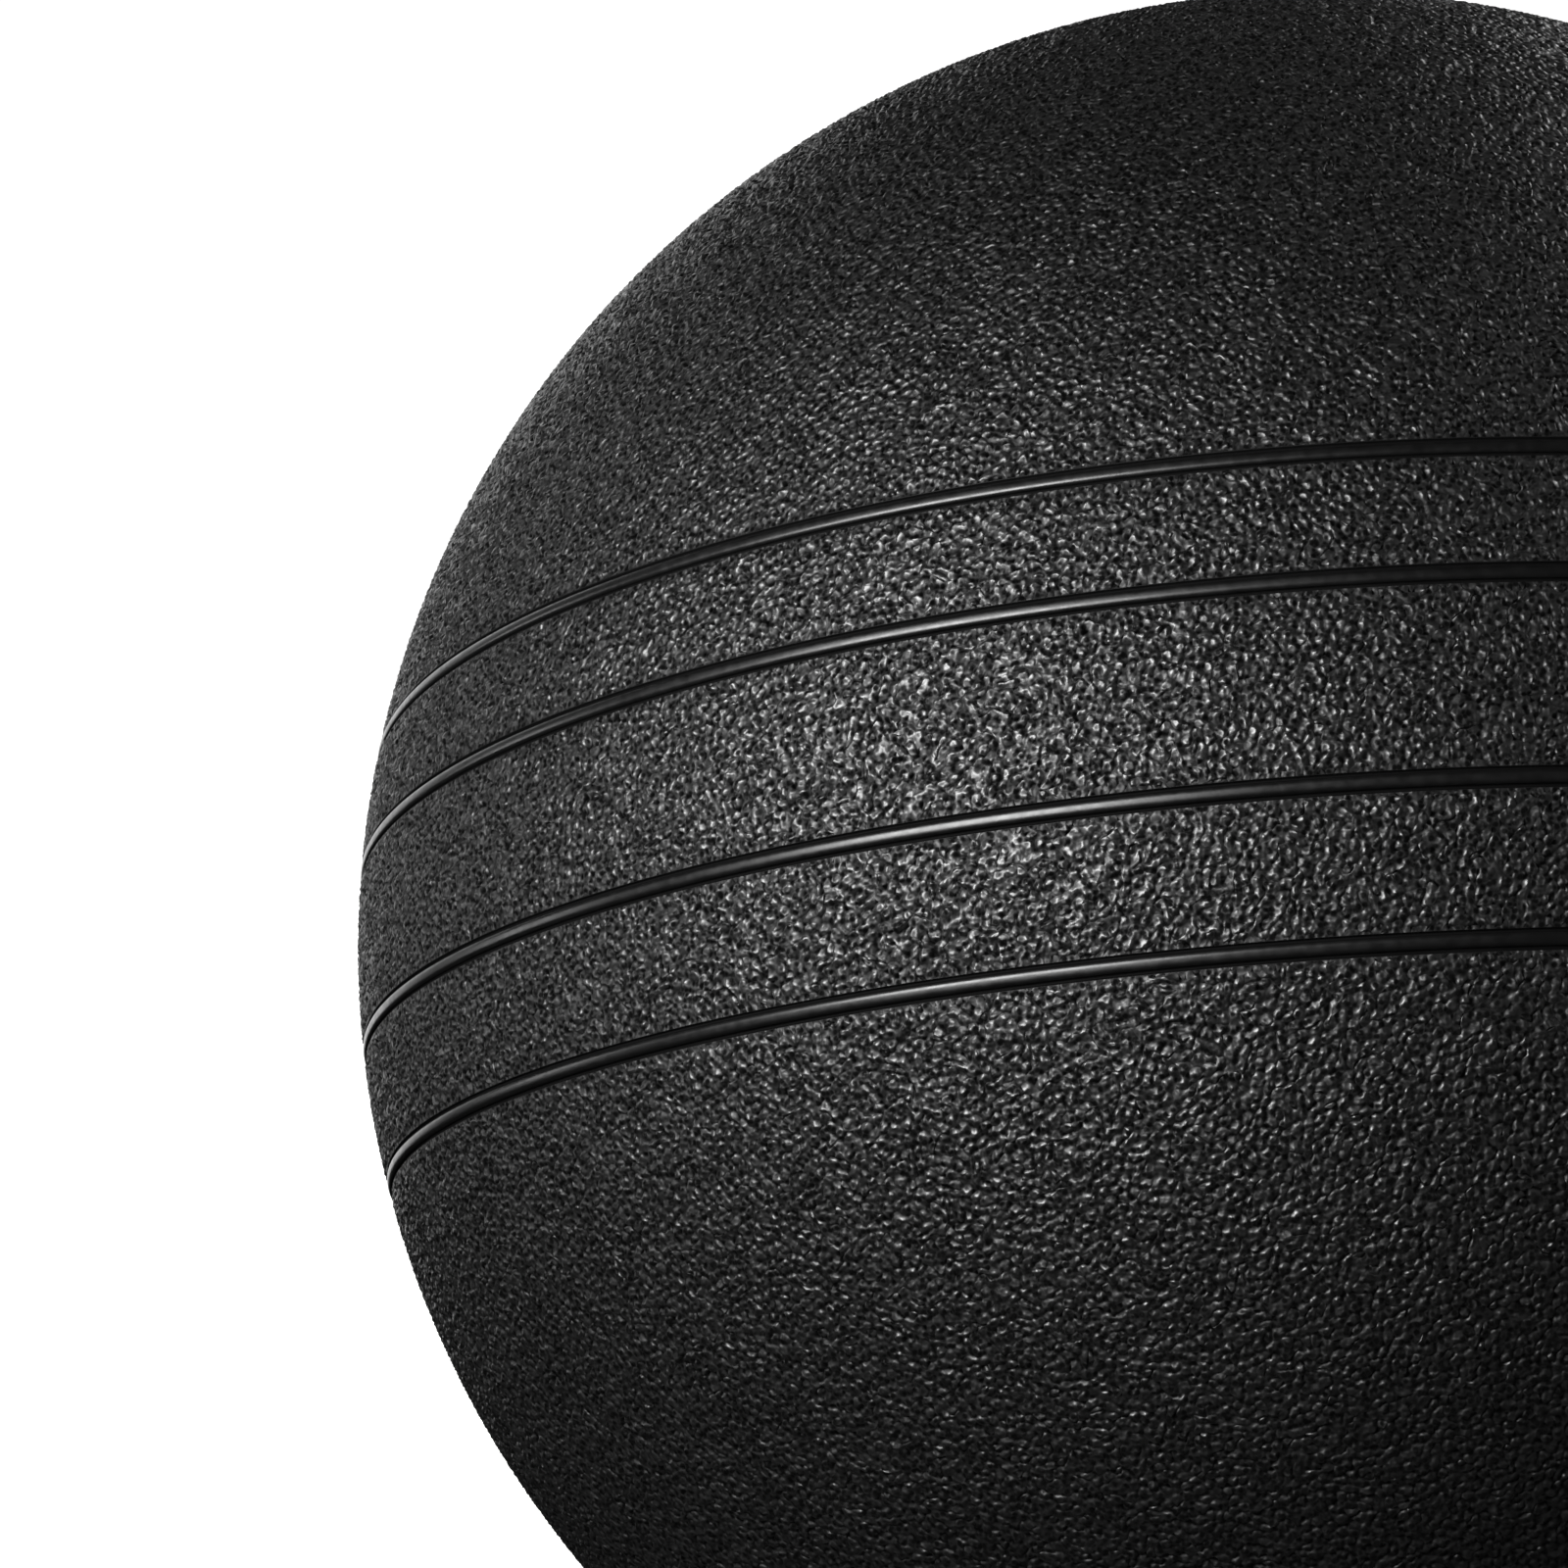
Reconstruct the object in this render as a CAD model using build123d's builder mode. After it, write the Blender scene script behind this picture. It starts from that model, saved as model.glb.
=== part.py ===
from build123d import *
import math
import os

# A slam-type medicine ball: a thick moulded shell over an airtight liner, most of it filled with sand.
# Millimetres, +Z up, origin on the floor under the middle of the ball.
# The ball lies on a small flattened patch, and its moulding axis leans back, towards +Y.
# Along that axis the filling plug is at the low pole and the inflation valve is at the high pole.

# Driving dimensions
ball_radius = 115.0
shell_wall = 9.5
liner_wall = 2.5
sag = 1.5  # how far the loaded shell flattens where it rests
axis_lean = 20.0  # degrees from upright, towards +Y
sand_level = 57.0  # height of the levelled sand above the ball's centre

# Four moulded lines run round the ball beside its equator. Each is a smooth bead in a recess.
line_latitudes = [13.04, 5.9, -4.78, -12.87]  # degrees from the ball's own equator
recess_width = 2.3
recess_depth = 0.75
recess_lip = 0.2  # the radius that rounds each edge of a recess
bead_width = 1.5
bead_height = 0.9  # the bead's section is an ellipse whose crest is at the ball's surface

plug_radius = 11.0
plug_flange_radius = 17.0
plug_flange_thickness = 3.0
cover_radius = 16.0
cover_thickness = 3.0  # at its middle
cover_edge = 0.3  # chamfer

valve_radius = 6.5
valve_neck_radius = 5.5
valve_flange_radius = 15.0
valve_flange_thickness = 2.5
valve_length = 24.0
valve_dish = 0.6  # how far the valve's face lies below the shell's surface
valve_edge = 0.5  # chamfer round the valve's face
valve_vent_radius = 1.5
core_head_radius = 3.6
core_head_length = 2.0
core_radius = 2.6
core_length = 16.0
needle_radius = 1.1
needle_depth = 6.0
ring_radius = 13.0  # the groove round the valve
ring_half_width = 0.7
overrun = 5.0  # how far a cutting cylinder passes the face that it opens

# Worked out from the driving dimensions
shell_inner = ball_radius - shell_wall
liner_inner = shell_inner - liner_wall
lean = math.radians(axis_lean)
centre = Vector(0, 0, ball_radius - sag)
ball_axis = Vector(0, math.sin(lean), math.cos(lean))
spin_axis = Axis(centre, ball_axis)
# The meridian plane holds the ball's axis: its local Y runs from the plug's pole to the valve's.
meridian = Plane(origin=centre, x_dir=(1, 0, 0), z_dir=(0, -math.cos(lean), math.sin(lean)))
# A recess is an arc through its bottom and its two lips.
recess_curve = (recess_width**2 / 4 + recess_depth**2) / (2 * recess_depth)
recess_seat = ball_radius - recess_depth + recess_curve
ring_latitude = math.degrees(math.acos(ring_radius / ball_radius))
cover_floor = ball_radius - cover_thickness
valve_face = ball_radius - valve_dish
valve_end = valve_face - valve_length
core_end = valve_face - core_length


def across(height):
    """The plane square to the ball's axis, at a height above the ball's centre towards the valve."""
    return Plane(origin=centre + ball_axis * height, x_dir=(1, 0, 0), z_dir=ball_axis)


def half_disc(radius):
    """Half a disc beside the ball's axis, which turns into a ball."""
    Circle(radius)
    Rectangle(2 * radius, 2 * radius, align=(Align.MAX, Align.CENTER), mode=Mode.SUBTRACT)


def recess_section(latitude):
    """A round-bottomed recess, cut square into the surface at a latitude."""
    with PolarLocations(recess_seat, 1, start_angle=latitude):
        Circle(recess_curve, mode=Mode.SUBTRACT)


def bead_section(latitude):
    """The smooth bead that stands in a recess, flush with the ball."""
    with PolarLocations(ball_radius - bead_height / 2, 1, start_angle=latitude):
        Ellipse(bead_height / 2, bead_width / 2, rotation=180)


def is_recess_lip(corner):
    """True where a side of a recess meets the ball's surface."""
    on_surface = abs(math.hypot(corner.X, corner.Y) - ball_radius) < 0.01
    return on_surface and corner.X > ball_radius / 2


def rod(radius, low, high, mode=Mode.ADD):
    """A round bar on the ball's axis, between two heights from the ball's centre."""
    with BuildSketch(across(low)) as section:
        Circle(radius)
    extrude(section.sketch, amount=high - low, mode=mode)


def curved_flange(radius, thickness, towards_valve):
    """A round flange that lies against the inside of the liner, at one pole."""
    with Locations(centre):
        Sphere(liner_inner)
        Sphere(liner_inner - thickness, mode=Mode.SUBTRACT)
    if towards_valve:
        rod(radius, 0, ball_radius, mode=Mode.INTERSECT)
    else:
        rod(radius, -ball_radius, 0, mode=Mode.INTERSECT)


os.makedirs("parts", exist_ok=True)

# Outer shell: one moulding, with the four lines near its equator, a groove round the valve,
# a hole at each pole and a shallow seat for the plug's cover. It is flat where it rests.
with BuildPart() as outer_shell:
    with BuildSketch(meridian) as shell_profile:
        half_disc(ball_radius)
        for line_latitude in line_latitudes:
            recess_section(line_latitude)
        fillet(shell_profile.vertices().filter_by(is_recess_lip), recess_lip)
        for line_latitude in line_latitudes:
            bead_section(line_latitude)
        with PolarLocations(ball_radius, 1, start_angle=ring_latitude):
            Circle(ring_half_width, mode=Mode.SUBTRACT)
        Circle(shell_inner, mode=Mode.SUBTRACT)
    revolve(axis=spin_axis)
    rod(valve_radius, 0, ball_radius + overrun, mode=Mode.SUBTRACT)
    rod(plug_radius, -ball_radius - overrun, 0, mode=Mode.SUBTRACT)
    rod(cover_radius, -ball_radius - overrun, -cover_floor, mode=Mode.SUBTRACT)
    split(bisect_by=Plane.XY, keep=Keep.TOP)
outer_shell.part.label = "outer_shell"
export_step(outer_shell.part, "parts/outer_shell.step")

# Inner bladder: the thin airtight liner against the shell's inside, with the same two holes
with BuildPart() as inner_bladder:
    with BuildSketch(meridian):
        half_disc(shell_inner)
        Circle(liner_inner, mode=Mode.SUBTRACT)
    revolve(axis=spin_axis)
    rod(valve_radius, 0, ball_radius, mode=Mode.SUBTRACT)
    rod(plug_radius, -ball_radius, 0, mode=Mode.SUBTRACT)
inner_bladder.part.label = "inner_bladder"
export_step(inner_bladder.part, "parts/inner_bladder.step")

# Filler plug: a stopper whose flange snaps in behind the liner
with BuildPart() as filler_plug:
    curved_flange(plug_flange_radius, plug_flange_thickness, towards_valve=False)
    rod(plug_radius, -cover_floor, plug_flange_thickness - liner_inner)
filler_plug.part.label = "filler_plug"
export_step(filler_plug.part, "parts/filler_plug.step")

# Sand: it fills the liner up to a level surface, and packs round the plug's flange
with BuildPart() as sand_fill:
    with Locations(centre):
        Sphere(liner_inner)
    split(bisect_by=Plane.XY.offset(centre.Z + sand_level), keep=Keep.BOTTOM)
    add(filler_plug.part, mode=Mode.SUBTRACT)
sand_fill.part.label = "sand_fill"
export_step(sand_fill.part, "parts/sand_fill.step")

# Plug cover: a disc bonded into the shell's seat, curved to lie flush with the ball
with BuildPart() as plug_cover:
    rod(cover_radius, -ball_radius - overrun, -cover_floor)
    with Locations(centre):
        Sphere(ball_radius, mode=Mode.INTERSECT)
    chamfer(plug_cover.edges().group_by(SortBy.LENGTH)[-1].sort_by(Axis.Z)[0], cover_edge)
plug_cover.part.label = "plug_cover"
export_step(plug_cover.part, "parts/plug_cover.step")

# Valve housing: a rubber stem through shell and liner, flanged inside, with a pocket for the core
with BuildPart() as valve_housing:
    curved_flange(valve_flange_radius, valve_flange_thickness, towards_valve=True)
    rod(valve_radius, liner_inner - valve_flange_thickness, valve_face)
    chamfer(valve_housing.faces().sort_by(spin_axis)[-1].edges(), valve_edge)
    rod(valve_neck_radius, valve_end, liner_inner - valve_flange_thickness)
    rod(core_head_radius, valve_face - core_head_length, valve_face, mode=Mode.SUBTRACT)
    rod(core_radius, core_end, valve_face, mode=Mode.SUBTRACT)
    rod(valve_vent_radius, valve_end, core_end, mode=Mode.SUBTRACT)
valve_housing.part.label = "valve_housing"
export_step(valve_housing.part, "parts/valve_housing.step")

# Valve core: the insert that an inflating needle is pushed into. Below the round mouth it is slit,
# and the slit is closed when no needle is in it, so it has no width here.
with BuildPart() as valve_core:
    rod(core_head_radius, valve_face - core_head_length, valve_face)
    rod(core_radius, core_end, valve_face - core_head_length)
    rod(needle_radius, valve_face - needle_depth, valve_face, mode=Mode.SUBTRACT)
valve_core.part.label = "valve_core"
export_step(valve_core.part, "parts/valve_core.step")
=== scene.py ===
import math

import bpy
import numpy as np
from mathutils import Matrix, Vector
from mathutils.geometry import delaunay_2d_cdt


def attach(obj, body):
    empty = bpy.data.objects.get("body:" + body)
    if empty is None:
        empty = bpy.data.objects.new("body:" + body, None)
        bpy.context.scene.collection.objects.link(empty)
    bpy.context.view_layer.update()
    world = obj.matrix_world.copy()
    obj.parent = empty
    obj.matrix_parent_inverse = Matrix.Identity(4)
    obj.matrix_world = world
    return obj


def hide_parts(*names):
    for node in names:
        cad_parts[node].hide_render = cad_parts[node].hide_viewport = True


# A slam-type medicine ball: a black moulded shell with a pebbled grain and four smooth lines.
# The grain is real relief. It is made once over the whole ball, and cut into zones at the lines.
# Under it lies one smooth moulding, which shows at the lines, round the valve and round the cover.
# Lengths are in metres, unless a comment says millimetres. "Ball frame" means: origin at the ball's
# centre, +Z along its axis to the valve's pole. A polar angle starts at that pole, and a depth at
# the ball's radius.

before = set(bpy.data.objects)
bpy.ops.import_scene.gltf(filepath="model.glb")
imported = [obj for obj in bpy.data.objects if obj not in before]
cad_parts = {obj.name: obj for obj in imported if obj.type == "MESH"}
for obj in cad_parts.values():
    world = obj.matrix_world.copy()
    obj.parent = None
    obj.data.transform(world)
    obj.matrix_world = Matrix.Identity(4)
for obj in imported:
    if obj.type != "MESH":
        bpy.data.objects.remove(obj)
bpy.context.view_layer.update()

MM = 0.001
BALL_RADIUS = 115.0 * MM
SAG = 1.5 * MM  # how much the floor flattens the ball
AXIS_LEAN = math.radians(20.0)
LINE_LATITUDES = [math.radians(a) for a in (13.04, 5.9, -4.78, -12.87)]
SHELL_INNER = 105.5 * MM  # radius of the shell's inside
VALVE_RADIUS = 6.5 * MM
PLUG_RADIUS = 11.0 * MM
COVER_SEAT = 16.04 * MM  # radius of the seat that the plug's cover lies in
COVER_FLOOR = 112.0 * MM  # from the ball's centre to that seat's floor

CENTRE = Vector((0.0, 0.0, BALL_RADIUS - SAG))
TO_ROW = Matrix.Rotation(-AXIS_LEAN, 3, "X")  # ball frame to row frame

rng = np.random.default_rng(41)


# ---------------------------------------------------------------- meshes

def to_row(points):
    """Points in the ball frame, moved to where the ball lies in the row frame."""
    return points @ np.array(TO_ROW).T + np.array(CENTRE)


def new_object(name, points, faces, normals=None):
    """A smooth-shaded mesh object, from arrays of points and of triangles or quads."""
    mesh = bpy.data.meshes.new(name)
    mesh.vertices.add(len(points))
    mesh.vertices.foreach_set("co", points.astype(np.float32).ravel())
    mesh.loops.add(faces.size)
    mesh.loops.foreach_set("vertex_index", faces.astype(np.int32).ravel())
    mesh.polygons.add(len(faces))
    starts = np.arange(0, faces.size, faces.shape[1], dtype=np.int32)
    mesh.polygons.foreach_set("loop_start", starts)
    mesh.update(calc_edges=True)
    mesh.shade_smooth()
    if normals is not None:
        mesh.normals_split_custom_set_from_vertices(normals.astype(np.float32))
    piece = bpy.data.objects.new(name, mesh)
    bpy.context.scene.collection.objects.link(piece)
    return piece


def finish_shell_piece(piece, material):
    piece.data.materials.append(material)
    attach(piece, "root")
    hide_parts("outer_shell")


def vertex_normals(points, triangles):
    """Area-weighted normals at the points of a triangle mesh."""
    a, b, c = (points[triangles[:, k]] for k in range(3))
    across = np.cross(b - a, c - a)
    normals = np.zeros_like(points)
    for k in range(3):
        for axis in range(3):
            normals[:, axis] += np.bincount(
                triangles[:, k], weights=across[:, axis], minlength=len(points)
            )
    return normals / np.maximum(np.linalg.norm(normals, axis=1, keepdims=True), 1e-12)


def vectors(turn, across, height):
    """Vectors from their angles about the axis, distances from it and heights along it."""
    parts = np.broadcast_arrays(across * np.cos(turn), across * np.sin(turn), height)
    return np.stack(parts, -1)


# ---------------------------------------------------------------- grain

PEBBLES = 112_000  # over the whole ball, so about 1.3 mm apart
PEBBLE_JITTER = 0.21  # of their spacing
PEBBLE_REACH = (0.43, 0.475)  # a pebble's radius, as a share of the distance to its neighbour
RELIEF = 0.29 * MM  # from a pebble's top down to the gap beside it
RELIEF_RANGE = (0.75, 1.25)  # of that, from one gap to another
BRIDGED = 0.12  # the share of gaps where two pebbles run together
BRIDGE_RELIEF = 0.45  # of the relief, in such a gap
PIT = 0.36 * MM  # how much deeper it is at most where three gaps meet
TOP_DEPTH = 0.05 * MM  # the highest pebble tops
TOP_RANGE = 0.07 * MM  # how much lower another top may be
LOW_PEBBLES = 0.04  # the share of pebbles that stand lower than the rest
LOW_DROP = 0.12 * MM
BELT_HALF = 1.15 * MM  # from a line's middle to where the grain starts, under its recess's lip
VALVE_RING = 15.15 * MM  # where the grain starts round the valve, from the ball's axis
COVER_RING = 18.2 * MM  # the same round the plug's cover
RING_STEP = 0.75 * MM  # between points along the edge of a smooth belt
RING_DEPTH = 0.34 * MM
RING_REACH = 0.5  # the share that such a point has of the distance to its neighbour
RING_CLEARANCE = 0.42 * MM  # from a belt's edge to the nearest pebble's middle
MAP_TOLERANCE = 1e-9  # points of the map that are nearer than this would count as one

SPACING = math.sqrt(4 * math.pi / PEBBLES / math.sin(math.radians(60)))  # as an angle
GOLDEN = 3 - math.sqrt(5)  # of half a turn, from each point of an even spiral to the next

# Between the lines, from the valve's pole on: each zone's name, and the sectors it is cut into.
ZONES = [
    ("grain_valve_side", 6),
    ("grain_upper_band", 1),
    ("grain_middle_band", 2),
    ("grain_lower_band", 1),
    ("grain_plug_side", 6),
]


def belts():
    """The smooth belts, as pairs of polar angles. The grain keeps out of them."""
    half = BELT_HALF / BALL_RADIUS
    found = [(0.0, math.asin(VALVE_RING / BALL_RADIUS))]
    for latitude in LINE_LATITUDES:
        middle = math.pi / 2 - latitude
        found.append((middle - half, middle + half))
    found.append((math.pi - math.asin(COVER_RING / BALL_RADIUS), math.pi))
    return found


def pebble_middles():
    """Unit vectors spread evenly and then shaken, none of them in or beside a belt."""
    count = np.arange(PEBBLES) + 0.5
    height = 1 - 2 * count / PEBBLES
    points = vectors(count * math.pi * GOLDEN, np.sqrt(1 - height**2), height)
    points += rng.normal(size=points.shape) * SPACING * PEBBLE_JITTER
    points /= np.linalg.norm(points, axis=1, keepdims=True)
    polar = np.arccos(points[:, 2])
    clear = RING_CLEARANCE / BALL_RADIUS
    keep = np.ones(len(points), bool)
    for start, end in belts():
        keep &= (polar < start - clear) | (polar > end + clear)
    return points[keep]


def ring_points():
    """Unit vectors along the belts' edges."""
    rings = []
    for polar in np.ravel(belts()):
        if 0 < polar < math.pi:  # the first belt starts at one pole and the last ends at the other
            count = int(2 * math.pi * math.sin(polar) * BALL_RADIUS / RING_STEP)
            turn = np.arange(count) * 2 * math.pi / count
            rings.append(vectors(turn, np.sin(polar), np.cos(polar)))
    return np.concatenate(rings)


def triangulate(points):
    """Delaunay triangles over unit vectors, found on a stereographic map, which keeps them so."""
    flat = points[:, :2] / (1 + points[:, 2:])
    corners = [Vector(p) for p in flat.tolist()]
    # No edges or faces go in, 0 asks for all triangles, and True for the points behind corners.
    _, _, faces, sources, _, _ = delaunay_2d_cdt(corners, [], [], 0, MAP_TOLERANCE, True)
    triangles = np.array([ids[0] for ids in sources])[np.array(faces)]
    a, b, c = (flat[triangles[:, k]] for k in range(3))
    turned = (b - a)[:, 0] * (c - a)[:, 1] - (b - a)[:, 1] * (c - a)[:, 0] < 0
    triangles[turned] = triangles[turned][:, ::-1]
    return triangles


def edges_of(triangles, count):
    """The edges of the triangles, and for each triangle's three sides the number of its edge."""
    sides = np.stack([triangles, np.roll(triangles, -1, axis=1)], 2).reshape(-1, 2)
    low, high = sides.min(1).astype(np.int64), sides.max(1).astype(np.int64)
    keys, number = np.unique(low * count + high, return_inverse=True)
    return np.stack([keys // count, keys % count], 1), number.reshape(-1, 3)


def grain_points(points, on_ring, triangles, edges, side):
    """Every pebble's top, then each edge's two points, one at the foot of either pebble, then the pits.

    They are in the ball frame. points are the pebbles' middles and the rings, as unit vectors.
    """
    reach = np.where(on_ring, RING_REACH, rng.uniform(*PEBBLE_REACH, len(points)))
    top = TOP_DEPTH + TOP_RANGE * rng.random(len(points)) ** 2
    low = rng.random(len(points)) < LOW_PEBBLES
    top = np.where(low, top + LOW_DROP, top)
    top = np.where(on_ring, RING_DEPTH, top)
    bridged = rng.random(len(edges)) < BRIDGED
    share = rng.uniform(*RELIEF_RANGE, len(edges))
    gap = np.where(bridged, BRIDGE_RELIEF, 1.0) * RELIEF * share + TOP_DEPTH
    pit = gap[side].mean(1) + PIT * rng.random(len(triangles))

    first, second = edges[:, 0], edges[:, 1]
    near = points[first] + (points[second] - points[first]) * reach[first][:, None]
    far = points[second] + (points[first] - points[second]) * reach[second][:, None]
    directions = np.concatenate([points, near, far, points[triangles].mean(1)])
    directions /= np.linalg.norm(directions, axis=1, keepdims=True)
    depth = np.concatenate([top, np.maximum(gap, top[first]), np.maximum(gap, top[second]), pit])
    return directions * (BALL_RADIUS - depth)[:, None]


def grain_faces(triangles, edges, side, count):
    """Nine triangles in place of each one: a corner at each pebble, and a fan round the pit.

    Gives all of them, the corners alone, and the number of the first pit among the points.
    """
    base_near, base_far, first_pit = count, count + len(edges), count + 2 * len(edges)
    pit = first_pit + np.arange(len(triangles))
    beside = []
    for k in range(3):
        from_here = triangles[:, k] == edges[side[:, k], 0]
        here = np.where(from_here, base_near, base_far) + side[:, k]
        there = np.where(from_here, base_far, base_near) + side[:, k]
        beside.append((here, there))
    made = []
    for k in range(3):
        here, there = beside[k]
        before = beside[k - 1][1]
        made.append(np.stack([triangles[:, k], here, before], 1))
        made.append(np.stack([pit, here, there], 1))
        made.append(np.stack([pit, before, here], 1))
    return np.concatenate(made), np.concatenate(made[0::3]), first_pit


def zone_numbers(where):
    """For points on the ball, the number of each one's zone, and the zones' names in that order."""
    latitude = np.arctan2(where[:, 2], np.hypot(where[:, 0], where[:, 1]))
    turn = np.arctan2(where[:, 1], where[:, 0]) + math.pi
    between = np.searchsorted(-np.array(LINE_LATITUDES), -latitude)
    zone = np.zeros(len(where), int)
    names = []
    for row, (label, sectors) in enumerate(ZONES):
        sector = np.minimum((turn / (2 * math.pi) * sectors).astype(int), sectors - 1)
        zone = np.where(between == row, len(names) + sector, zone)
        names += [f"{label}_{k + 1}" if sectors > 1 else label for k in range(sectors)]
    return zone, names


def build_grain(material):
    """The grain, one object for each zone. Normals come from the whole, so no seam shows."""
    middles, rings = pebble_middles(), ring_points()
    seeds = np.concatenate([middles, rings])
    on_ring = np.arange(len(seeds)) >= len(middles)
    coarse = triangulate(seeds)
    coarse = coarse[~on_ring[coarse].all(1)]
    edges, side = edges_of(coarse, len(seeds))
    points = to_row(grain_points(seeds, on_ring, coarse, edges, side))
    points[:, 2] = np.maximum(points[:, 2], 0.0)  # pressed flat where the ball rests
    triangles, corners, first_pit = grain_faces(coarse, edges, side, len(seeds))

    # A pebble is shaded as one dome down to its gap, so its normals leave out the gap's own faces.
    normals = vertex_normals(points, triangles)
    normals[:first_pit] = vertex_normals(points, corners)[:first_pit]

    zone, names = zone_numbers(seeds[coarse].mean(1))
    zone = np.tile(zone, len(triangles) // len(coarse))
    for number, name in enumerate(names):
        used, renumbered = np.unique(triangles[zone == number], return_inverse=True)
        piece = new_object(name, points[used], renumbered.reshape(-1, 3), normals[used])
        finish_shell_piece(piece, material)


# ---------------------------------------------------------------- smooth moulding under the grain

BODY_TURNS = 268  # quads round the ball
BODY_STEP = math.radians(4)  # about how far apart points of its section are under the grain
PLUG_SIDE_POINTS = 20  # from the last line to the rim of the plug's cover, both ends counted
INSIDE_POINTS = 36  # along the inside wall
FLOOR_GAP = 0.25 * MM  # the moulding stops this far above the floor, inside the grain's flat patch
UNDER_GRAIN = 1.0 * MM  # its depth where the grain covers it
RIM_DEPTH = 0.16 * MM  # its depth in the smooth rims
WALL = BALL_RADIUS - SHELL_INNER
VALVE_RIM_END = 15.8 * MM  # where the rims go under the grain, from the ball's axis
COVER_RIM_END = 18.9 * MM

BEAD_HALF_WIDTH = 0.68 * MM
BEAD_HALF_HEIGHT = 0.44 * MM
BEAD_DEPTH = 0.1 * MM  # of the bead's crest
BEAD_FULLNESS = 0.8  # 1 gives an elliptical section, and less a fuller one
BEAD_POINTS = 14

# (distance from a line's middle, depth) of the recess's corners, and of the points that pull its
# curves. The first curve starts at the bead's side.
RECESS_BOTTOM = (0.9 * MM, 0.70 * MM)
RECESS_LIP = (1.12 * MM, 0.36 * MM)
RECESS_END = (1.45 * MM, UNDER_GRAIN)
RECESS_BENDS = [(0.76 * MM, 0.70 * MM), (1.04 * MM, 0.69 * MM), (1.18 * MM, 0.30 * MM)]
RECESS_POINTS = 5  # on each curve


def bend(start, control, end, count):
    """Points on a curve from start towards end, pulled to control. The end is left out."""
    t = np.arange(count)[:, None] / count
    start, control, end = (np.array(p, float) for p in (start, control, end))
    return (1 - t) ** 2 * start + 2 * t * (1 - t) * control + t**2 * end


def half_line():
    """(distance from a line's middle, depth) pairs, from the bead's crest to under the grain."""
    angle = np.linspace(0, math.pi / 2, BEAD_POINTS + 1)[:-1]
    across = BEAD_HALF_WIDTH * np.sin(angle) ** BEAD_FULLNESS
    depth = BEAD_DEPTH + BEAD_HALF_HEIGHT * (1 - np.cos(angle) ** BEAD_FULLNESS)
    rows = [np.stack([across, depth], 1)]
    bead_side = (BEAD_HALF_WIDTH, BEAD_DEPTH + BEAD_HALF_HEIGHT)
    stops = [bead_side, RECESS_BOTTOM, RECESS_LIP, RECESS_END]
    for start, control, end in zip(stops, RECESS_BENDS, stops[1:]):
        rows.append(bend(start, control, end, RECESS_POINTS))
    return np.concatenate(rows + [[RECESS_END]])


def polar_point(polar, depth):
    """(distance from the axis, height) of a point at a polar angle."""
    radius = BALL_RADIUS - depth
    return radius * math.sin(polar), radius * math.cos(polar)


def section_by_radius(rows, from_far_pole=False):
    """Points of the section, from rows of (distance from the axis at the ball's radius, depth).

    The rows are in millimetres.
    """
    section = []
    for out, depth in np.concatenate(rows) * MM:
        polar = math.asin(out / BALL_RADIUS)
        section.append(polar_point(math.pi - polar if from_far_pole else polar, depth))
    return section


def valve_surround():
    """The section round the valve: hole wall, smooth ring, fine groove and rim."""
    hole, rim, under = VALVE_RADIUS / MM, RIM_DEPTH / MM, UNDER_GRAIN / MM
    return section_by_radius([
        [(hole, WALL / MM), (hole, 5), (hole, 0.9)],
        bend((hole, 0.7), (hole, rim), (7.2, rim), 6),
        [(7.2, rim), (9, rim), (11, rim)],
        bend((12.1, rim), (12.4, rim), (12.6, 0.45), 4),
        bend((12.6, 0.45), (13.0, 0.95), (13.4, 0.45), 6),
        bend((13.4, 0.45), (13.6, rim), (13.9, rim), 4),
        bend((14.7, rim), (15.4, rim), (VALVE_RIM_END / MM, under), 6),
        [(VALVE_RIM_END / MM, under)],
    ])


def cover_surround():
    """The section round the plug's cover: rim, seat wall and seat floor."""
    seat, rim, under = COVER_SEAT / MM, RIM_DEPTH / MM, UNDER_GRAIN / MM
    section = section_by_radius([
        [(COVER_RIM_END / MM, under)],
        bend((18.8, 0.6), (18.4, rim), (17.9, rim), 6),
        bend((17.9, rim), (16.1, rim), (seat, 0.6), 8),
    ], from_far_pole=True)
    return section + [(COVER_SEAT, -COVER_FLOOR), (PLUG_RADIUS, -COVER_FLOOR)]


def body_section():
    """The closed section of the moulding, which turns about the ball's axis."""
    section = valve_surround()
    last = math.asin(VALVE_RIM_END / BALL_RADIUS)
    line = half_line()
    both = np.concatenate([line[::-1] * (-1, 1), line[1:]])
    half = line[-1, 0] / BALL_RADIUS
    for latitude in LINE_LATITUDES:
        middle = math.pi / 2 - latitude
        steps = max(2, int((middle - half - last) / BODY_STEP))
        plain = np.linspace(last, middle - half, steps + 1)[1:-1]
        section += [polar_point(polar, UNDER_GRAIN) for polar in plain]
        section += [polar_point(middle + s / BALL_RADIUS, depth) for s, depth in both]
        last = middle + half
    end = math.pi - math.asin(COVER_RIM_END / BALL_RADIUS)
    plain = np.linspace(last, end, PLUG_SIDE_POINTS)[1:-1]
    section += [polar_point(polar, UNDER_GRAIN) for polar in plain]
    section += cover_surround()
    inner_end = math.pi - math.asin(PLUG_RADIUS / SHELL_INNER)
    inner_start = math.asin(VALVE_RADIUS / SHELL_INNER)
    inside = np.linspace(inner_end, inner_start, INSIDE_POINTS)
    section += [polar_point(polar, WALL) for polar in inside]
    return np.array(section)


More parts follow.
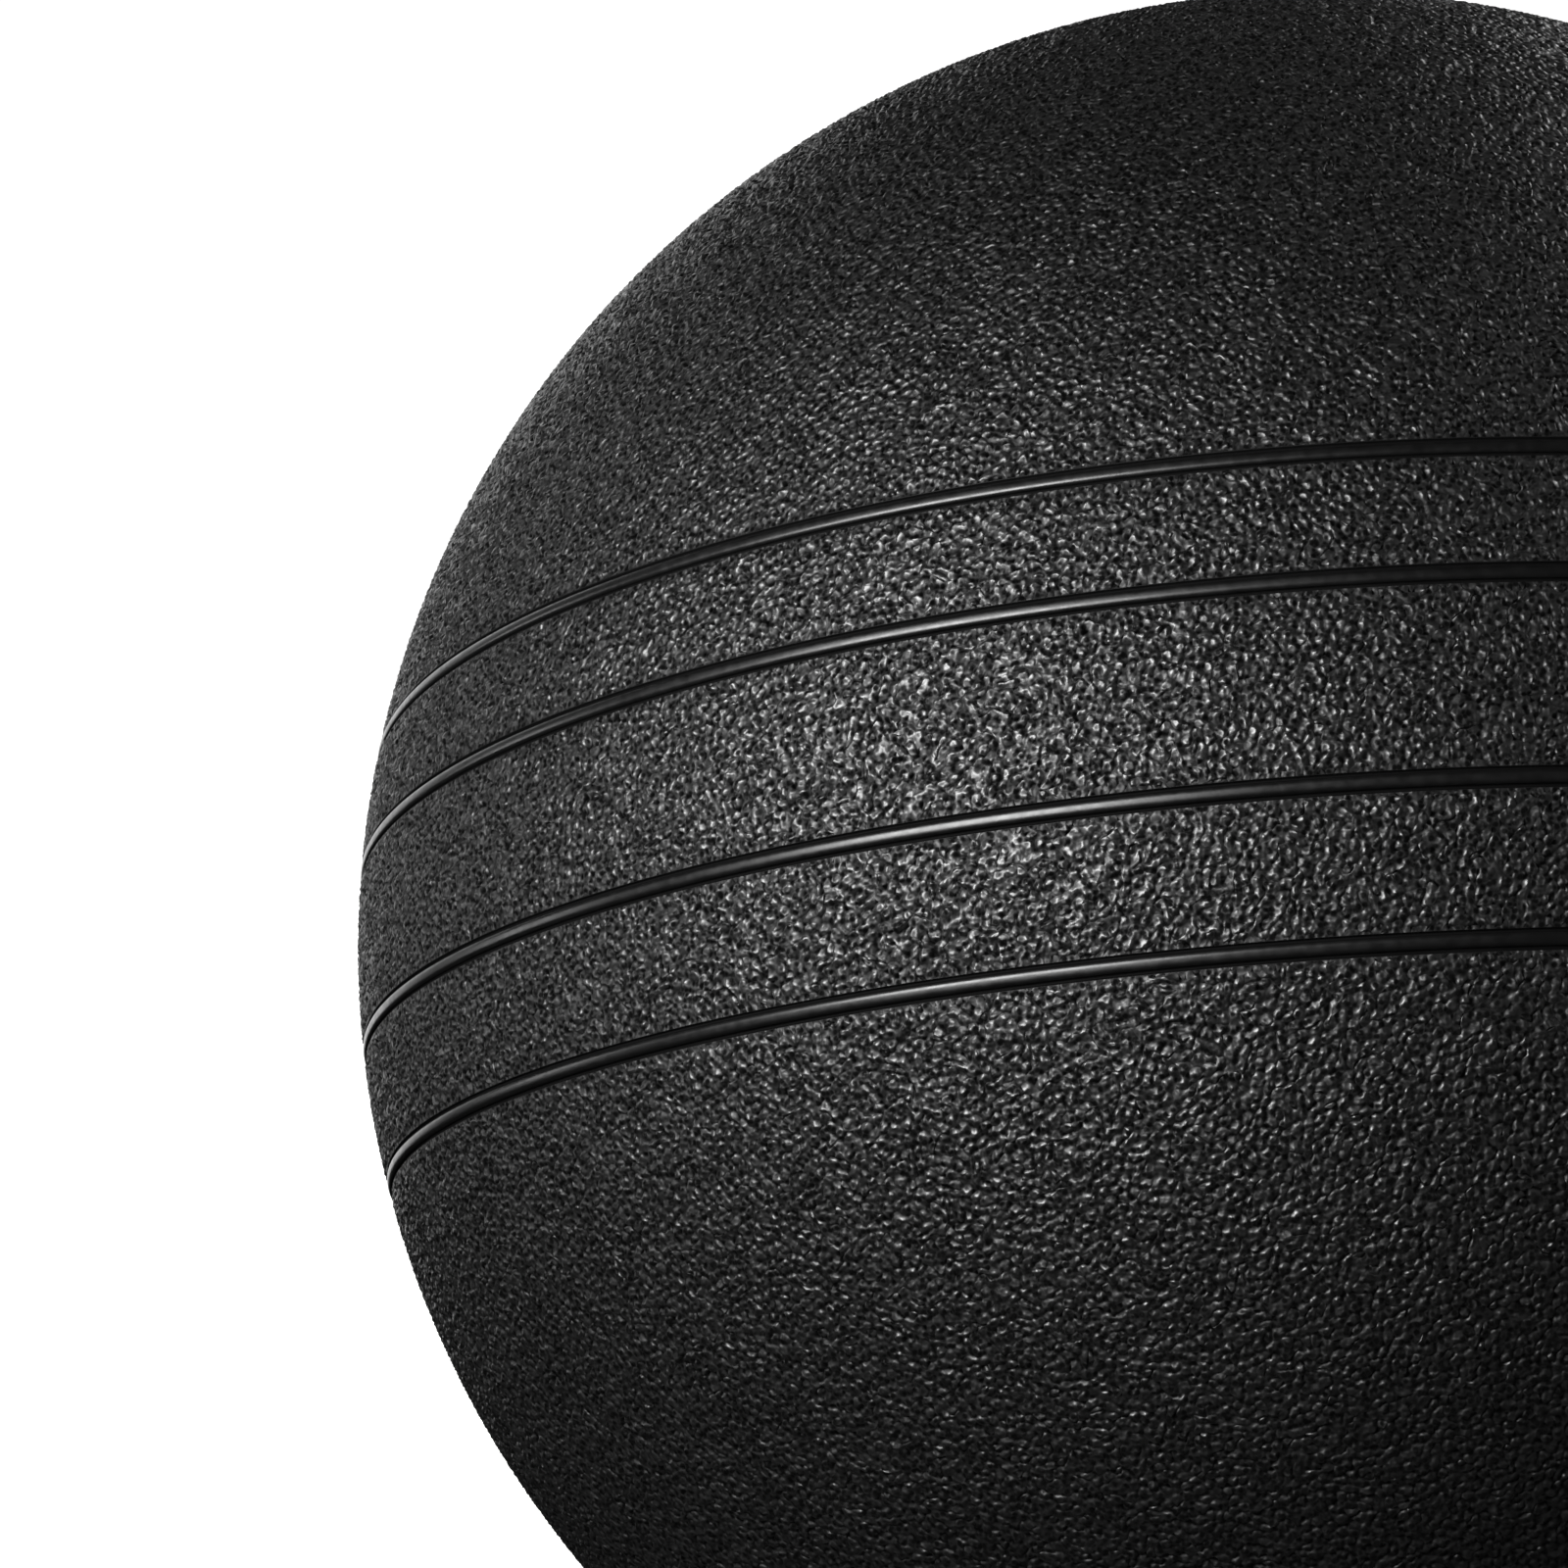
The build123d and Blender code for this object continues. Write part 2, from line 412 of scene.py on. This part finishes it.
def build_body(material):
    """The smooth moulding: lines, rims, holes and the inside wall, as one closed solid."""
    section = body_section()
    turn = np.arange(BODY_TURNS)[:, None] * 2 * math.pi / BODY_TURNS
    points = to_row(vectors(turn, section[:, 0], section[:, 1]).reshape(-1, 3))
    points[:, 2] = np.maximum(points[:, 2], FLOOR_GAP)
    here = np.arange(BODY_TURNS)[:, None] * len(section) + np.arange(len(section))[None]
    onward = np.roll(here, -1, axis=1)
    corners = [here, onward, np.roll(onward, -1, axis=0), np.roll(here, -1, axis=0)]
    piece = new_object("shell_moulding", points, np.stack(corners, 2).reshape(-1, 4))
    finish_shell_piece(piece, material)


# ---------------------------------------------------------------- materials

# Colours are linear. Every black here is very dark: the shell looks black under a strong light.
# The pits' colour is painted shade, far darker than the tops' own blacks.
PAINTED_PIT_SHADE = (0.0004, 0.0004, 0.0004)
TOP_BLACKS = (0.0009, 0.0009, 0.0009), (0.0016, 0.0016, 0.0015)
BEAD_BLACKS = (0.001, 0.001, 0.001), (0.0016, 0.0016, 0.0016)
FITTING_BLACKS = (0.0012, 0.0012, 0.0012), (0.003, 0.003, 0.003)
LINER_GREYS = (0.003, 0.003, 0.003), (0.05, 0.047, 0.042)
SAND_TANS = (0.36, 0.26, 0.15), (0.60, 0.48, 0.32)
SAND_PALE = (0.72, 0.66, 0.56)
SAND_DARK = (0.09, 0.06, 0.04)


class Graph:
    """A material with a Principled shader, and short ways to add nodes."""

    def __init__(self, name):
        self.material = bpy.data.materials.new(name)
        self.material.use_nodes = True
        self.tree = self.material.node_tree
        self.shader = self.tree.nodes["Principled BSDF"]
        self.place = self.add("ShaderNodeTexCoord").outputs["Object"]

    def add(self, kind, **settings):
        node = self.tree.nodes.new(kind)
        for key, value in settings.items():
            setattr(node, key, value)
        return node

    def link(self, source, target):
        self.tree.links.new(source, target)

    def noise(self, size, detail=3.0):
        """Noise with features of about that size, from 0 to 1."""
        node = self.add("ShaderNodeTexNoise")
        node.inputs["Scale"].default_value = 1 / size
        node.inputs["Detail"].default_value = detail
        self.link(self.place, node.inputs["Vector"])
        return node.outputs["Fac"]

    def cells(self, size):
        """Round cells of about that size. Distance is 0 in the middle, Color differs by cell."""
        node = self.add("ShaderNodeTexVoronoi")
        node.inputs["Scale"].default_value = 1 / size
        self.link(self.place, node.inputs["Vector"])
        return node.outputs

    def spread(self, source, low, high, to_low=0.0, to_high=1.0):
        """source, mapped from low..high to to_low..to_high and held there outside."""
        node = self.add("ShaderNodeMapRange")
        values = {"From Min": low, "From Max": high, "To Min": to_low, "To Max": to_high}
        for key, value in values.items():
            node.inputs[key].default_value = value
        self.link(source, node.inputs["Value"])
        return node.outputs["Result"]

    def maths(self, operation, first, second):
        """The result of a Math node on two numbers or outputs of other nodes."""
        node = self.add("ShaderNodeMath", operation=operation)
        for k, value in enumerate((first, second)):
            if isinstance(value, (int, float)):
                node.inputs[k].default_value = value
            else:
                self.link(value, node.inputs[k])
        return node.outputs[0]

    def blend_colours(self, factor, first, second):
        """Two colours or outputs mixed: the first where factor is 0, the second where it is 1."""
        node = self.add("ShaderNodeMix", data_type="RGBA")
        self.link(factor, node.inputs["Factor"])
        for key, value in (("A", first), ("B", second)):
            socket = [i for i in node.inputs if i.name == key and i.type == "RGBA"][0]
            if isinstance(value, tuple):
                socket.default_value = (*value, 1)
            else:
                self.link(value, socket)
        return [o for o in node.outputs if o.type == "RGBA"][0]

    def depth(self):
        """How far a point lies below the ball's radius, in millimetres."""
        offset = self.add("ShaderNodeVectorMath", operation="DISTANCE")
        self.link(self.place, offset.inputs[0])
        offset.inputs[1].default_value = CENTRE
        below = self.maths("SUBTRACT", BALL_RADIUS, offset.outputs["Value"])
        return self.maths("MULTIPLY", below, 1 / MM)

    def bump(self, height, distance, strength=1.0):
        """Relief in the shading alone, as high as distance where height goes from 0 to 1."""
        node = self.add("ShaderNodeBump")
        node.inputs["Distance"].default_value = distance
        node.inputs["Strength"].default_value = strength
        self.link(height, node.inputs["Height"])
        self.link(node.outputs["Normal"], self.shader.inputs["Normal"])

    def colour(self, source):
        self.link(source, self.shader.inputs["Base Color"])

    def roughness(self, source):
        self.link(source, self.shader.inputs["Roughness"])

    def gloss(self, source):
        self.link(source, self.shader.inputs["Specular IOR Level"])


def grain_rubber():
    """The pebbles: a fine grit on them, dull dots, and pits that are rougher and duller, their colour
    darkened by painted shade.
    """
    g = Graph("grain_rubber")
    depth = g.depth()
    pits = g.spread(depth, 0.25, 0.55)  # 0 on a pebble and 1 down in a pit
    # Painted shade: down in the pits the colour goes from the tops' blacks to the painted pit shade.
    g.colour(g.blend_colours(pits, g.blend_colours(g.noise(9 * MM), *TOP_BLACKS), PAINTED_PIT_SHADE))
    grit = g.noise(0.6 * MM, 0.0)
    dots = g.spread(g.cells(0.78 * MM)["Distance"], 0.28, 0.54, 0.08, 0.88)
    shine = g.maths("MULTIPLY", dots, g.spread(grit, 0.36, 0.58, 0.42, 1.0))
    g.gloss(g.maths("MULTIPLY", g.spread(depth, 0.28, 0.55, 1.0, 0.12), shine))
    wear = g.spread(grit, 0.35, 0.65, 0.52, 0.38)
    g.roughness(g.maths("ADD", wear, g.maths("MULTIPLY", pits, 0.4)))
    g.bump(grit, 0.21 * MM)
    return g.material


def smooth_rubber():
    """The lines and rims: smooth and glossy at the ball's radius, dull down in the recesses."""
    g = Graph("smooth_rubber")
    depth = g.depth()
    g.colour(g.blend_colours(g.noise(7 * MM), *BEAD_BLACKS))
    g.gloss(g.spread(depth, 0.2, 0.5, 0.5, 0.06))
    wear = g.spread(g.noise(1.2 * MM), 0.3, 0.7, 0.3, 0.4)
    low = g.spread(depth, 0.2, 0.5)  # 0 at the ball's radius and 1 down in a recess
    g.roughness(g.maths("ADD", wear, g.maths("MULTIPLY", low, 0.4)))
    g.bump(g.noise(0.3 * MM, 2.0), 0.01 * MM, 0.5)
    return g.material


def moulded_rubber(name, colours, mottle, roughness, grain, height):
    """Moulded rubber with a faint mottle and a fine matt grain. Their sizes are in millimetres."""
    g = Graph(name)
    g.colour(g.blend_colours(g.spread(g.noise(mottle * MM), 0.35, 0.65), *colours))
    g.roughness(g.spread(g.noise(4 * grain * MM), 0.3, 0.7, *roughness))
    g.bump(g.noise(grain * MM, 2.0), height * MM, 0.7)
    return g.material


def dry_sand():
    """Loose sand: grains of many tans, with some dark and some pale ones among them."""
    g = Graph("dry_sand")
    grains = g.cells(0.5 * MM)
    tint = g.add("ShaderNodeSeparateColor")
    g.link(grains["Color"], tint.inputs["Color"])
    red, green, blue = (tint.outputs[key] for key in ("Red", "Green", "Blue"))
    tan = g.blend_colours(red, *SAND_TANS)
    pale = g.blend_colours(g.spread(green, 0.86, 0.9), tan, SAND_PALE)
    g.colour(g.blend_colours(g.spread(blue, 0.9, 0.93), pale, SAND_DARK))
    g.roughness(g.spread(green, 0.0, 1.0, 0.65, 0.95))
    g.bump(g.maths("SUBTRACT", g.noise(6 * MM), grains["Distance"]), 0.3 * MM, 0.8)
    return g.material


def dress_cad_parts():
    """The parts inside the shell and in its two holes keep their CAD shapes, with new materials."""
    # Each node's rubber: name, colours, size of its mottle, range of roughness, and size and height
    # of its grain. Sizes are in millimetres.
    rubbers = {
        "plug_cover": ("cover_rubber", FITTING_BLACKS, 5, (0.38, 0.5), 0.35, 0.03),
        "filler_plug": ("plug_rubber", FITTING_BLACKS, 6, (0.5, 0.65), 0.4, 0.03),
        "valve_housing": ("valve_rubber", FITTING_BLACKS, 4, (0.32, 0.44), 0.25, 0.02),
        "valve_core": ("core_rubber", FITTING_BLACKS, 2, (0.24, 0.32), 0.2, 0.01),
        "inner_bladder": ("liner_rubber", LINER_GREYS, 9, (0.55, 0.8), 0.5, 0.02),
    }
    materials = {name: moulded_rubber(*recipe) for name, recipe in rubbers.items()}
    materials["sand_fill"] = dry_sand()
    for name, material in materials.items():
        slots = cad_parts[name].data.materials
        slots.clear()
        slots.append(material)


# ---------------------------------------------------------------- camera, light and floor

VIEW_DISTANCE = 5.3 * BALL_RADIUS
VIEW_TURN = math.radians(7.61)  # the camera's heading, from +Y towards +X
VIEW_DROP = math.radians(4.89)  # how far the camera points below level
BALL_RIGHT = 0.1047  # where the ball's middle stands in the view, per unit of distance ahead
BALL_BELOW = 0.0327
LENS = 114.3  # in millimetres, as is the sensor's width
SENSOR = 36

FLOOR_SIZE = 12
FLOOR_GREY = 0.93
FLOOR_ROUGHNESS = 0.8
SKY_STRENGTH = 1.15

# Each light: bearing from -Y towards -X and rise, in degrees, then distance, width, height and
# radiance. They aim at the ball.
SOFTBOXES = {
    "key": (52, 22, 1.0, 0.56, 0.4, 26.5),
    "left_fill": (112, 0, 1.5, 0.32, 0.5, 5.2),
    "left_rim": (162, 8, 1.5, 1.0, 1.3, 1.9),
    "right_rim": (-120, 25, 1.5, 1.0, 1.0, 7.0),
    "right_fill": (-82, 20, 1.6, 1.4, 1.4, 1.4),
}


def build_camera():
    """A camera without roll, far enough back for the ball to stand where it does in the view."""
    ahead = Vector((
        math.sin(VIEW_TURN) * math.cos(VIEW_DROP),
        math.cos(VIEW_TURN) * math.cos(VIEW_DROP),
        -math.sin(VIEW_DROP),
    ))
    right = ahead.cross(Vector((0, 0, 1))).normalized()
    up = right.cross(ahead)
    to_ball = (ahead + right * BALL_RIGHT - up * BALL_BELOW).normalized()
    data = bpy.data.cameras.new("camera")
    data.lens = LENS
    data.sensor_width = SENSOR
    data.clip_start = 0.01
    camera = bpy.data.objects.new("camera", data)
    camera.matrix_world = Matrix((
        (right.x, up.x, -ahead.x, 0),
        (right.y, up.y, -ahead.y, 0),
        (right.z, up.z, -ahead.z, 0),
        (0, 0, 0, 1),
    ))
    camera.location = CENTRE - to_ball * VIEW_DISTANCE
    bpy.context.scene.collection.objects.link(camera)
    bpy.context.scene.camera = camera


def build_floor():
    """A pale matt floor. The shell doesn't mirror it, so the ball's underside stays black."""
    bpy.ops.mesh.primitive_plane_add(size=FLOOR_SIZE)
    floor = bpy.context.active_object
    floor.name = "floor"
    material = bpy.data.materials.new("pale_floor")
    material.use_nodes = True
    shader = material.node_tree.nodes["Principled BSDF"]
    shader.inputs["Base Color"].default_value = (FLOOR_GREY, FLOOR_GREY, FLOOR_GREY, 1)
    shader.inputs["Roughness"].default_value = FLOOR_ROUGHNESS
    shader.inputs["Specular IOR Level"].default_value = 0
    floor.data.materials.append(material)
    floor.visible_glossy = False


def build_softbox(name, turn, rise, distance, width, height, radiance):
    """A rectangular light aimed at the ball, as the table of them says."""
    data = bpy.data.lights.new(name, "AREA")
    data.shape = "RECTANGLE"
    data.size = width
    data.size_y = height
    data.energy = radiance * math.pi * width * height
    light = bpy.data.objects.new(name, data)
    turn, rise = math.radians(turn), math.radians(rise)
    toward = Vector((
        -math.sin(turn) * math.cos(rise),
        -math.cos(turn) * math.cos(rise),
        math.sin(rise),
    ))
    light.location = CENTRE + toward * distance
    light.rotation_euler = (-toward).to_track_quat("-Z", "Y").to_euler()
    light.visible_camera = False
    bpy.context.scene.collection.objects.link(light)


def build_light():
    """A plain white surround that the shell doesn't mirror, and the softboxes that it does."""
    world = bpy.data.worlds.new("studio")
    world.use_nodes = True
    sky = world.node_tree.nodes["Background"]
    sky.inputs["Color"].default_value = (1, 1, 1, 1)
    sky.inputs["Strength"].default_value = SKY_STRENGTH
    bpy.context.scene.world = world
    world.cycles_visibility.glossy = False
    bpy.context.scene.view_settings.view_transform = "Standard"
    for name, settings in SOFTBOXES.items():
        build_softbox(name, *settings)


build_grain(grain_rubber())
build_body(smooth_rubber())
dress_cad_parts()
build_camera()
build_floor()
build_light()
